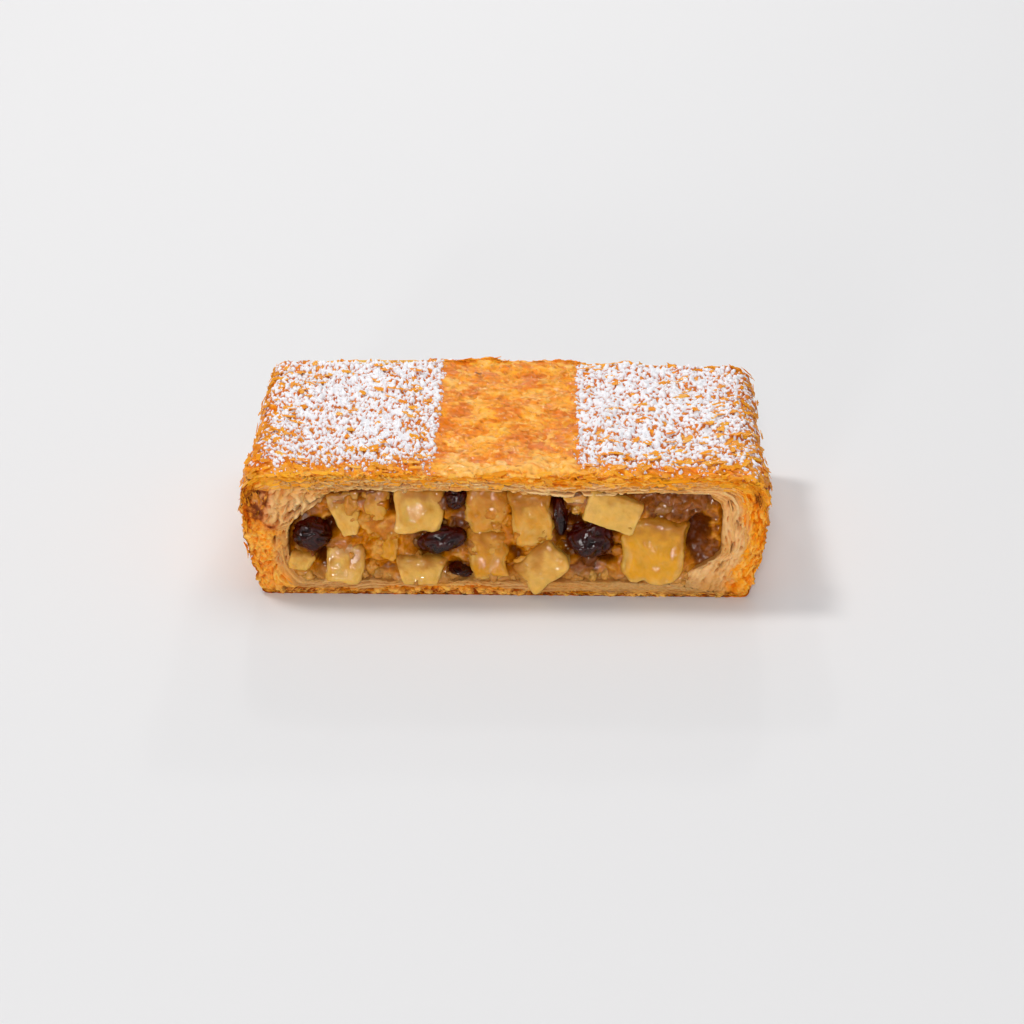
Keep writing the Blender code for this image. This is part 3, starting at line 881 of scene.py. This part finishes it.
def add_flakes(name, spots, normals, alongs, sizes, tints, dice, curl):
    """Thin chips of crust as one piece. Each is a small sheet, bent by curl,
    with a ragged edge and a real thickness."""
    count = len(spots)
    across, down = 6, 4
    a = np.linspace(-0.5, 0.5, across)[None, None, :]
    b = np.linspace(-0.5, 0.5, down)[None, :, None]
    a, b = np.broadcast_arrays(a, b)
    rim = np.maximum(np.abs(a) * 2, np.abs(b) * 2) > 0.99
    jitter = dice.uniform(-0.14, 0.14, (count, down, across, 2))
    long, wide = sizes.T[..., None, None]
    point = dice.uniform(-0.35, 0.35, (count, 1, 1))
    taper = 1 - 0.3 * (2 * np.abs(a)) ** 3 + point * a
    u = (a + jitter[..., 0] * (0.3 + rim)) * long
    u = u + b * long * dice.uniform(-0.25, 0.25, (count, 1, 1))
    v = (b * taper + jitter[..., 1] * rim * 1.1) * wide
    bend = dice.uniform(-0.3, 1.0, (count, 1, 1)) * curl
    twist = dice.uniform(-0.5, 0.5, (count, 1, 1)) * curl
    lift = bend * (u / long) ** 2 * long * 0.9 + twist * u * v / np.maximum(long, 0.1)
    lift = lift + dice.uniform(-0.05, 0.05, (count, down, across)) * wide
    binormals = unit(np.cross(normals, alongs))
    alongs = unit(np.cross(binormals, normals))
    thick = dice.uniform(0.07, 0.13, (count, 1, 1))
    sheets = []
    for shift in (0.0, 1.0):
        height = lift - shift * thick
        sheet = spots[:, None, None]
        for axis, reach in ((alongs, u), (binormals, v), (normals, height)):
            sheet = sheet + axis[:, None, None] * reach[..., None]
        sheets.append(sheet.reshape(count, -1, 3))
    points = np.concatenate(sheets, axis=1)
    each = across * down
    front = quads(down, across)
    back = front[:, ::-1] + each
    one = np.concatenate([front, back, rim_band(down, across)])
    faces = (one[None] + np.arange(count)[:, None, None] * 2 * each).reshape(-1, 4)
    # Painted light: each flake's rim is lightened toward light gold, as if lit through its
    # thin edge.
    edge_light = np.tile(rim.reshape(-1), 2)[None, :] * 0.25
    colour = mix(np.repeat(tints[:, None, :], 2 * each, axis=1), LIGHT_GOLD, edge_light)
    points[..., 2] = np.maximum(points[..., 2], 0.02)
    return add_piece(name, points, faces, colour, FLAKE, smooth=False)


def surface_frames(walk, y):
    """Places on the crust, with the way out and the way round there, and the
    crust's tint."""
    points, marks = crust_points(walk, y)
    out, around = along(NORMAL, walk), unit(along(SLOPE, walk))
    return (points, stack(out[:, 0], 0, out[:, 1]),
            stack(around[:, 0], 0, around[:, 1]), crust_tint(walk, y, marks))


def crust_flakes():
    """Flakes that have lifted off the crust, on top and on the side walls."""
    dice = np.random.default_rng(61)
    count = 1000
    down_walls = 36
    walk = dice.uniform(RIGHT_EDGE - down_walls, LEFT_EDGE + down_walls, count)
    y = dice.uniform(-HALF_LENGTH + 1, HALF_LENGTH - 3, count)
    x = along(OUTER, walk)[:, 0]
    middle = np.abs(x) < BARE_HALF + 2
    snowed = (np.abs(x) < 55) & ~middle & (y > -HALF_LENGTH + 16)
    luck = dice.uniform(0, 1, count)
    kept = np.where(middle, luck < 0.05, np.where(snowed, luck < 0.3, True))
    walk, y = walk[kept], y[kept]
    count = len(walk)
    points, normals, around, tints = surface_frames(walk, y)
    angle = slant_at(points[:, 0]) + dice.normal(0, 0.4, count)
    ahead = np.array((0, 1.0, 0))
    alongs = around * np.cos(angle)[:, None] + ahead * np.sin(angle)[:, None]
    normals = unit(normals + dice.normal(0, 0.09, (count, 3)))
    bare = wane(np.abs(points[:, 0]), BARE_HALF, BARE_HALF + 3)
    sizes = np.stack([dice.uniform(1.6, 4.4, count), dice.uniform(1.0, 2.4, count)], -1)
    tints = coated(tints, (LIGHT_GOLD, dice.uniform(0.1, 0.6, count)),
                   (GOLD, dice.uniform(0.0, 0.6, count)))
    points = points + normals * (0.02 + 0.45 * (1 - bare))[:, None]
    return add_flakes("crust_flakes", points, normals, alongs, sizes, tints, dice, 0.25)


def edge_flakes(name, side):
    """Torn ends of crust that fringe a cut like shingles, thickest along the
    upper edge."""
    dice = np.random.default_rng(71 + side)
    count = 560
    upper = dice.uniform(RIGHT_EDGE - 6, LEFT_EDGE + 6, int(count * 0.55))
    rest = dice.uniform(0, ROUND, count - len(upper))
    walk = np.concatenate([upper, rest])
    place = along(OUTER, walk)
    low = wane(place[:, 1], 3.0, 12.0)
    beside = (place[:, 0] * -side < -SHOULDER_HALF + 3) * (1 - low)
    down = dice.uniform(-0.1, 2.9, count) * (1 - 0.6 * low) * (1 + 0.9 * beside)
    down = down - beside * 0.8
    y = side * (HALF_LENGTH + dice.uniform(-0.9, 0.3, count) * (1 - 0.5 * low))
    points, normals, around, tints = surface_frames(walk, y)
    points = points - normals * down[:, None]
    alongs = around + dice.normal(0, 0.22, (count, 3))
    alongs = unit(alongs + normals * (beside * dice.uniform(-1.2, 0.2, count))[:, None])
    lean = dice.uniform(0.1, 1.5, count) * np.clip(0.5 + down / 2, 0.4, 1.4)
    normals = normals + np.array((0, float(side), 0)) * lean[:, None]
    normals = unit(normals + dice.normal(0, 0.18, (count, 3)))
    sizes = np.stack([dice.uniform(1.2, 4.4, count), dice.uniform(0.7, 1.8, count)], -1)
    sizes = sizes * (1 - 0.5 * low)[:, None]
    tints = coated(tints, (LIGHT_GOLD, dice.uniform(0.2, 0.9, count)),
                   (PEACH_CRUST, ramp(down, 0.8, 3.0) * dice.uniform(0, 0.9, count)))
    tints = scorch(tints, points[:, 0] * -side, points[:, 2], side)
    return add_flakes(name, points, normals, alongs, sizes, tints, dice, 0.3)


# ---- filling

MUSH_SET_BACK = 1.8

# Sunken places in the front of the filling: across, up, half sizes, depth.
PITS = {FRONT: (
    (48.4, 16.6, 4.4, 7.0, 4.6), (-44.3, 19.2, 2.4, 3.6, 4.5),
    (-47.4, 10.4, 1.6, 2.2, 4.0), (26.4, 9.6, 2.4, 1.2, 3.6),
    (-28.6, 25.6, 1.2, 3.4, 3.6), (-9.6, 26.0, 1.4, 3.0, 3.2),
    (13.6, 25.6, 2.0, 3.0, 3.0), (18.5, 21.5, 1.8, 2.4, 2.2))}
PITS[BACK] = tuple((x * 0.9, 32.0 - z, *rest) for x, z, *rest in PITS[FRONT])

# Places where the filling is brown and crumbly: across, up, half sizes.
NUTTY_PATCHES = (
    (43.5, 25.4, 10.5, 4.2), (20.6, 7.2, 3.8, 3.0), (-10.6, 20.6, 3.4, 2.6),
    (52.0, 11.0, 3.6, 6.0), (-49.4, 10.6, 2.0, 2.0))


def mush_face(x, z, side):
    """How far the fruit pulp stands off its own plane at a cut, and its tint.
    It climbs up the sides of the fruit that it holds."""
    seed = 300 + side * 10
    across = x * -side
    warp = fractal((x / 7, z / 5.5, side), 3, seed)
    folds = fractal((x / 3.4 + warp, z / 2.8 - warp, side), 3, seed + 1)
    ridge = 1 - np.abs(noise((x / 2.6 + warp, z / 2.2, side), seed + 2)) * 3
    fine = fractal((x / 1.2, z / 1.2, side), 3, seed + 5, 0.6)
    beside_cube = np.exp(-fruit_gap(x, z, side, CUBES, "apple") / 1.5)
    beside_raisin = np.exp(-fruit_gap(x, z, side, RAISINS, "raisin") / 1.3)
    climb = beside_cube * ramp(warp + folds * 0.4, -0.5, 0.1)
    floor = wane(z + folds * 0.5, HOLLOW_FLOOR + 1.0, HOLLOW_FLOOR + 3.0)
    roof = ramp(z + folds, HOLLOW_CEILING - 5.5, HOLLOW_CEILING - 1.0)
    relief = warp * 0.6 + folds * 0.8 + ridge * 0.3 + fine * 0.26 - 1.0
    relief = relief * (1 - climb * 0.4) + climb * 1.6 + floor * 0.8 - roof * 1.2
    sunk = 0.0
    for *pit, deep in PITS[side]:
        far = from_spot(across, z, pit) + warp * 0.35
        sunk = np.maximum(sunk, wane(far, 0.15, 1.25) * deep)
    nutty = 0.0
    for spot in NUTTY_PATCHES:
        far = from_spot(across, z, spot) + folds * 0.2
        nutty = np.maximum(nutty, wane(far, 0.8, 1.15))
    near, _, owner = cells(x / 2.1 + warp, z / 1.7 - warp, seed + 6)
    lump = np.sqrt(clamp(1 - (near / 0.85) ** 2)) * owner
    relief = relief + nutty * (lump * 1.3 - 0.2) - sunk

    pink = mix(MUSH_PINK, MUSH_BROWN, clamp(0.5 + fine * 0.7 - lump * 0.9))
    return relief, coated(
        MUSH_AMBER,
        (APPLE_AMBER, clamp(0.5 + folds * 0.8 + ridge * 0.2)),
        (APPLE_PALE, ramp(folds + warp * 0.5, 0.2, 0.9) * 0.55),
        # painted shade: the pulp browns where it lies lower, in the recesses between its
        # folds
        (MUSH_BROWN, ramp(-0.7 - relief, -0.2, 1.0) * 0.85),
        (pink, nutty * 0.9),
        # painted shadow under the pastry roof
        (MUSH_BROWN, roof * (1 - nutty) * 0.8),
        # painted shade in the gaps beside the raisins
        (SHADE_BESIDE_RAISINS, beside_raisin * 0.75),
        (WET_DOUGH, floor * 0.75),
        # painted shade that deepens with each pit's depth
        (DEEP_SHADE, np.clip(sunk / 4.6, 0, 0.85)))


def add_mush(step=0.38):
    """The stewed filling, as a block with lumpy ends that tucks in behind the
    pastry all round."""
    margin = 0.9
    x = np.arange(-HOLLOW_HALF - margin, HOLLOW_HALF + margin, step)
    z = np.arange(HOLLOW_FLOOR - margin, HOLLOW_CEILING + margin + 0.4, step)
    columns, rows = len(x), len(z)
    grid_x, grid_z = np.meshgrid(x, z)
    points, tints = [], []
    for side in (FRONT, BACK):
        relief, tint = mush_face(grid_x, grid_z, side)
        rim = np.minimum(HOLLOW_HALF - np.abs(grid_x), HOLLOW_CEILING - grid_z)
        tuck = wane(rim, -0.4, 1.2)
        face_y = side * (HALF_LENGTH - MUSH_SET_BACK + relief * (1 - tuck) - tuck * 1.6)
        points.append(stack(grid_x, face_y, grid_z))
        tints.append(tint)
    sheet = quads(rows, columns)
    faces = (sheet, sheet[:, ::-1] + rows * columns, rim_band(rows, columns))
    piece = add_piece("stewed_filling", np.concatenate(points), np.concatenate(faces),
                      np.concatenate(tints), PULP)
    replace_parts(piece, "filling")


def pulp_bits(name, side):
    """Soft bits of fruit between the larger pieces, many of them along the
    floor of the hollow."""
    dice = np.random.default_rng(81 + side)
    count = 64
    x = dice.uniform(-HOLLOW_HALF + 3, HOLLOW_HALF - 7, count)
    z = dice.uniform(HOLLOW_FLOOR + 0.6, HOLLOW_CEILING - 3.5, count)
    low = dice.uniform(0, 1, count) < 0.4
    z = np.where(low, HOLLOW_FLOOR + dice.uniform(-0.4, 1.4, count), z)
    fold = (x * -side < -HOLLOW_HALF + FOLD_RUN) & (z > HOLLOW_CEILING - FOLD_DROP)
    x, z, low = x[~fold], z[~fold], low[~fold]
    relief, tint = mush_face(x, z, side)
    y = side * (HALF_LENGTH - MUSH_SET_BACK + relief - 0.5)
    spots = np.stack([x, y, z], -1)
    count = len(x)
    sizes = dice.uniform(0.7, 1.9, count)
    tint = mix(tint, APPLE_PALE, dice.uniform(0, 0.3, count))
    lump, tris = ball(3)
    stretch = dice.uniform(0.65, 1.45, (count, 1, 3))
    shift = np.arange(count)[:, None, None] * np.array((3.1, 1.7, 2.3))
    swell = 1 + noise(lump * 1.4 + shift, 161) * 0.55
    swell = swell + noise(lump * 3.6 + shift, 162) * 0.2
    shape = lump * swell[..., None] * stretch * sizes[:, None, None]
    faces = tris + np.arange(count)[:, None, None] * len(lump)
    return add_piece(name, spots[:, None] + shape, faces.reshape(-1, 3),
                     np.repeat(tint, len(lump), axis=0), PULP)


# ---- fruit

# How cooking has plumped and shifted a piece from its plain solid, where no
# other fit is given: wider, taller, across and up.
PLUMP = (1.12, 1.12, 0.0, 0.0)
# Each cube in the order of its node's number: its turn at the cut, its foot's
# width as a share of its top, how cooked it looks from 0, pale, to 1, amber, how
# yellow, and its fit.
CUBES = {
    FRONT: (
        (9.0, 0.52, 0.15, 0.05, 1.06, 1.14, -0.4, 0.0),
        (-4.0, 0.84, 0.14, 0.0, 1.12, 1.14, 0.0, 0.2),
        (6.0, 0.9, 1.0, 0.5, 1.05, 1.5, -0.8, 0.5),
        (-5.0, 0.9, 0.12, 0.0, 1.08, 1.36, 0.7, -0.2),
        (-3.0, 0.66, 0.05, 0.0, 1.36, 1.4, 0.0, -0.1),
        (2.0, 0.96, 0.75, 0.1, 1.14, 1.26, 0.0, -0.5),
        (-3.0, 0.88, 0.8, 0.35, 1.16, 1.24, -0.8, -1.1),
        (7.0, 0.84, 0.55, 0.25, 1.12, 1.18, 0.5, -0.4),
        (40.0, 1.0, 0.25, 0.0, 1.5, 1.5, 0.0, -1.5),
        (-20.0, 0.95, -0.22, 0.0, 1.34, 1.24, -0.6, 0.0),
        (-3.0, 0.84, 0.5, 0.9, 1.32, 1.33, -0.6, 0.7),
        (-26.0, 0.9, 0.1, 0.0, 1.15, 1.4, -0.8, -0.7),
        (3.0, 0.9, 0.45, 0.1, 1.8, 1.2, -1.5, 0.2),
        (4.0, 0.9, 0.6, 0.0, 1.3, 1.4, -0.4, 0.4)),
    BACK: tuple((*cube, *PLUMP) for cube in (
        (6.0, 0.9, 0.2, 0.1), (-14.0, 0.85, 0.6, 0.4), (12.0, 0.8, 0.1, 0.0),
        (9.0, 0.75, 0.0, 0.1), (-8.0, 0.9, 0.8, 0.2), (31.0, 1.0, 0.3, 0.5),
        (-7.0, 0.9, 0.1, 0.0), (4.0, 0.8, 0.6, 0.6), (-18.0, 0.85, 0.2, 0.1)))}
# Each raisin's turn and fit.
RAISINS = {
    FRONT: ((-12.0, 1.02, 1.12, 0.0, 0.0), (16.0, 1.1, 1.36, -0.4, 0.6),
            (0.0, 1.2, 1.3, -0.2, 0.2), (-6.0, 1.2, 1.15, 0.7, -0.4),
            (8.0, 1.6, 1.6, -0.4, -0.7), (-8.0, 1.1, 1.14, -0.3, 1.3)),
    BACK: tuple((turn, *PLUMP) for turn in (12.0, -18.0, 15.0, 24.0, 0.0))}
WORDS = {FRONT: "front", BACK: "back"}
# How far a cut cube lies behind the cut: at the floor, and under the roof.
FRUIT_SINK = (0.5, 1.9)


def unturned(size, degrees):
    """The width and height of a box before it was turned, from its box after."""
    turn = math.radians(abs(degrees))
    c, s = math.cos(turn), math.sin(turn)
    if abs(c * c - s * s) < 0.15:
        side = (size[0] + size[2]) / 2 / (c + s)
        return side, side
    wide = (size[0] * c - size[2] * s) / (c * c - s * s)
    high = (size[2] * c - size[0] * s) / (c * c - s * s)
    return wide, high


def fitted(node, degrees, wider, taller, across, up):
    """Where a piece of fruit is, and its half sizes before it was turned."""
    low, high = box_mm(node)
    wide, tall = unturned(high - low, degrees)
    centre = (low + high) / 2 + np.array((across, 0, up))
    return centre, np.array((wide * wider, high[1] - low[1], tall * taller)) / 2


def fruit(table, side, kind):
    """Each piece of fruit at a cut: its node, its settings, its middle and its
    unturned half sizes."""
    for i, (degrees, *settings) in enumerate(table[side]):
        node = f"{kind}_{WORDS[side]}_{i + 1}"
        centre, half = fitted(node, degrees, *settings[-4:])
        yield node, (degrees, *settings[:-4]), centre, half


def fruit_gap(x, z, side, table, kind):
    """How far a place at a cut is from the nearest piece of a kind of fruit."""
    nearest = np.full(np.shape(x), 30.0)
    for _, settings, middle, half in fruit(table, side, kind):
        a, b = turned(x - middle[0], z - middle[2], -settings[0] * side)
        out_a = np.maximum(np.abs(a) - half[0], 0)
        out_b = np.maximum(np.abs(b) - half[2], 0)
        nearest = np.minimum(nearest, np.hypot(out_a, out_b))
    return nearest


def add_fruit(node, side, degrees, centre, points, faces, tint, name, material):
    """Turns a piece of fruit, puts it in its place and adds it."""
    x, z = turned(points[:, 0], points[:, 2], degrees * side)
    piece = add_piece(name, stack(x, points[:, 1], z) + centre, faces, tint,
                      material)
    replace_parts(piece, node)


def cut_block(bm, cuts=27):
    bmesh.ops.create_cube(bm, size=2.0)
    bmesh.ops.subdivide_edges(bm, edges=bm.edges, cuts=cuts, use_grid_fill=True)


# A cube's surface, each side from -1 to 1, as a net that is finer toward its
# edges.
BLOCK, BLOCK_FACES = net(cut_block)
BLOCK = np.sign(BLOCK) * (1 - (1 - np.abs(BLOCK)) ** 1.55)


def add_apple(node, side, settings, centre, half):
    """A cube of cooked apple: flat cut sides, edges that have softened, a
    narrower foot, and a wet uneven skin."""
    degrees, foot, cooked, yellow = settings
    seed = sum(ord(c) for c in node)
    dice = np.random.default_rng(seed)
    radius = min(1.2 + 1.3 * cooked, half.min() * 0.6)
    box = BLOCK * half
    core = np.clip(box, radius - half, half - radius)
    out = unit(box - core)
    points = core + out * radius
    shape = points / half
    points[:, 0] *= foot + (1 - foot) * (shape[:, 2] + 1) / 2
    pitch, yaw = -side * dice.uniform(0.03, 0.3), dice.uniform(-0.16, 0.16)
    points[:, 1] += points[:, 2] * pitch + points[:, 0] * yaw
    where = points / 6.0 + seed
    sway = np.stack([noise(where + k * 9.1, seed + k) for k in range(3)], -1)
    points = points + sway * (0.8 + 1.0 * cooked)
    dents = fractal(points / 2.8 + seed, 4, seed + 5, 0.5)
    creased = points * np.array((0.34, 0.34, 0.5)) + dents[:, None] * 0.3
    crease = 1 - np.abs(noise(creased + seed, seed + 9)) * 3
    fibre = noise(points / np.array((0.7, 2, 2.4)), seed)
    small = fractal(points / 1.3 + seed, 2, seed + 11)
    skin = dents * (0.18 + 0.5 * cooked) + crease * 0.3 * cooked + fibre * 0.07
    skin = skin + small * (0.06 + 0.12 * cooked)
    points = points + out * skin[:, None]
    # The tint paints light and shade: each cube is darker and more amber toward its top,
    # painted shadow under the pastry roof, and paler toward its edges, painted light
    # through its thin rims; how cooked it is, its dents and its fibres are its own colour.
    edge = ramp(np.sort(np.abs(shape), axis=1)[:, 1], 0.7, 1.0)
    rise = (shape[:, 2] + 1) / 2
    deep = cooked * (1 - edge * 0.7) + dents * 0.5 + (rise - 0.5) * 0.3
    shade = ramp(rise + dents * 0.3, 0.5, 1.05) * min(0.75 + cooked * 2, 0.75)
    tint = coated(
        APPLE_PALE,
        (APPLE_AMBER, clamp(deep)),
        (APPLE_YELLOW, clamp(yellow * (1 - edge) + dents * 0.4)),
        (APPLE_SHADE, shade),
        (PALE_DOUGH, clamp(fibre * 0.6 + edge * 0.5 - shade) * 0.3))
    sunk = FRUIT_SINK[0] + (FRUIT_SINK[1] - FRUIT_SINK[0]) * ramp(centre[2], 10, 24)
    points[:, 1] -= side * sunk
    add_fruit(node, side, degrees, centre, points, BLOCK_FACES, tint,
              node.replace("apple", "apple_cube"), FRUIT)


BALL, BALL_FACES = ball(5)


def add_raisin(node, side, settings, centre, half):
    """A plumped raisin with deep folds in a glossy skin."""
    seed = sum(ord(c) for c in node)
    warp = np.stack([noise(BALL * 1.3 + seed + k * 4.4, seed + k) for k in range(3)], -1)
    lumpy = BALL * (1 + noise(BALL * 1.1 + seed, seed + 3)[:, None] * 0.22)
    folded = BALL * 1.5 + warp * 1.1 + seed
    ridges = 1 - np.abs(noise(folded, seed + 4)) * 3.0
    small = 1 - np.abs(noise(folded * 2.1, seed + 5)) * 2.6
    relief = ridges * 0.8 + small * 0.3
    depth = 0.14 * min(half[0], half[2])
    points = lumpy * half + BALL * (relief[:, None] - 0.4) * depth
    # Painted light: the raisin's rim as seen from the cut is redder, as if lit through its
    # thin skin; the ridges of its folds are redder too.
    rim = ramp(np.hypot(BALL[:, 0], BALL[:, 2]), 0.55, 1.0)
    wine = 0.1 + relief * 0.45 + rim * 0.45
    tint = mix(RAISIN_DARK, RAISIN_WINE, clamp(wine))
    add_fruit(node, side, settings[0], centre, points, BALL_FACES, tint,
              node + "_fruit", RAISIN)


# ---- building


def build():
    shoulder_low = RIGHT_EDGE - 10
    shoulder_high = LEFT_EDGE + 10
    bare_low = walk_at(BARE_HALF + 3)
    bare_high = walk_at(-BARE_HALF - 3)
    over = crust_grid((shoulder_low, bare_low, 0.42), (bare_low, bare_high, 0.28),
                      (bare_high, shoulder_high, 0.42))
    under = crust_grid((shoulder_high - 1.1, ROUND + shoulder_low + 1.1, 0.55))
    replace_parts(add_crust("crust_top", over, 0.36), "pastry")
    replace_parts(add_crust("crust_sides", under, 0.55), "pastry")
    for side, word in WORDS.items():
        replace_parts(add_cut("cut_layers_" + word, side), "pastry")
        add_laminae("dough_sheets_" + word, side)
        edge_flakes("edge_flakes_" + word, side)
        pulp_bits("pulp_bits_" + word, side)
    crust_flakes()
    add_sugar("sugar_left", -1)
    add_sugar("sugar_right", 1)
    add_mush()
    for side in WORDS:
        for node, *shape in fruit(CUBES, side, "apple"):
            add_apple(node, side, *shape)
        for node, *shape in fruit(RAISINS, side, "raisin"):
            add_raisin(node, side, *shape)


# ---- stage


def add_floor():
    mesh = bpy.data.meshes.new("floor")
    reach = 4.0
    mesh.from_pydata([(-reach, -reach, 0), (reach, -reach, 0), (reach, reach, 0),
                      (-reach, reach, 0)], [], [(0, 1, 2, 3)])
    floor = bpy.data.objects.new("floor", mesh)
    bpy.context.scene.collection.objects.link(floor)
    made, shader = new_material("pale_floor")
    put(shader, {"Base Color": (0.80, 0.80, 0.815, 1), "Roughness": 0.85,
                 "Specular IOR Level": 0.2})
    mesh.materials.append(made)


WARM = (1.0, 0.98, 0.95)
MILD = (1.0, 0.985, 0.965)


def add_lamp(name, place, size, watts, colour=(1, 1, 1)):
    lamp = bpy.data.lights.new(name, "AREA")
    lamp.shape = "DISK"
    lamp.size = size
    lamp.energy = watts
    lamp.color = colour
    ob = bpy.data.objects.new(name, lamp)
    ob.location = place
    aim = Vector((0, 0, 0.015)) - Vector(place)
    ob.rotation_euler = aim.to_track_quat("-Z", "Y").to_euler()
    bpy.context.scene.collection.objects.link(ob)


def add_light():
    world = bpy.data.worlds.new("studio")
    world.use_nodes = True
    put(world.node_tree.nodes["Background"],
        {"Color": (0.97, 0.985, 1.0, 1), "Strength": 0.25})
    bpy.context.scene.world = world
    add_lamp("softbox", (0.30, 0.45, 1.65), 1.3, 8.2)
    add_lamp("key", (-0.80, 0.35, 1.45), 0.35, 9.6, WARM)
    add_lamp("fill", (-0.10, -1.70, 1.00), 0.28, 11.6, MILD)
    add_lamp("low_glint", (-0.40, -1.50, 0.26), 0.16, 4.6, MILD)
    add_lamp("backdrop", (0.0, 1.90, 0.66), 1.2, 2.4)
    add_lamp("glint_left", (-0.24, 1.35, 0.76), 0.07, 1.7, WARM)
    add_lamp("glint_right", (0.20, 1.42, 0.60), 0.07, 1.7, WARM)


def add_camera():
    """The photographer's place: a little above, almost square to the cut."""
    elevation = math.radians(26.5)
    azimuth = math.radians(1.1)
    away = 0.641
    aim = Vector((0.0011, 0.0, 0.0052))
    back = Vector((math.sin(azimuth) * math.cos(elevation),
                   -math.cos(azimuth) * math.cos(elevation), math.sin(elevation)))
    camera = bpy.data.cameras.new("camera")
    camera.sensor_width = 36.0
    camera.lens = 82.6
    camera.clip_start = 0.01
    ob = bpy.data.objects.new("camera", camera)
    ob.location = aim + back * away
    ob.rotation_euler = (-back).to_track_quat("-Z", "Y").to_euler()
    bpy.context.scene.collection.objects.link(ob)
    bpy.context.scene.camera = ob


build()
add_floor()
add_light()
add_camera()
bpy.context.scene.view_settings.view_transform = "Standard"
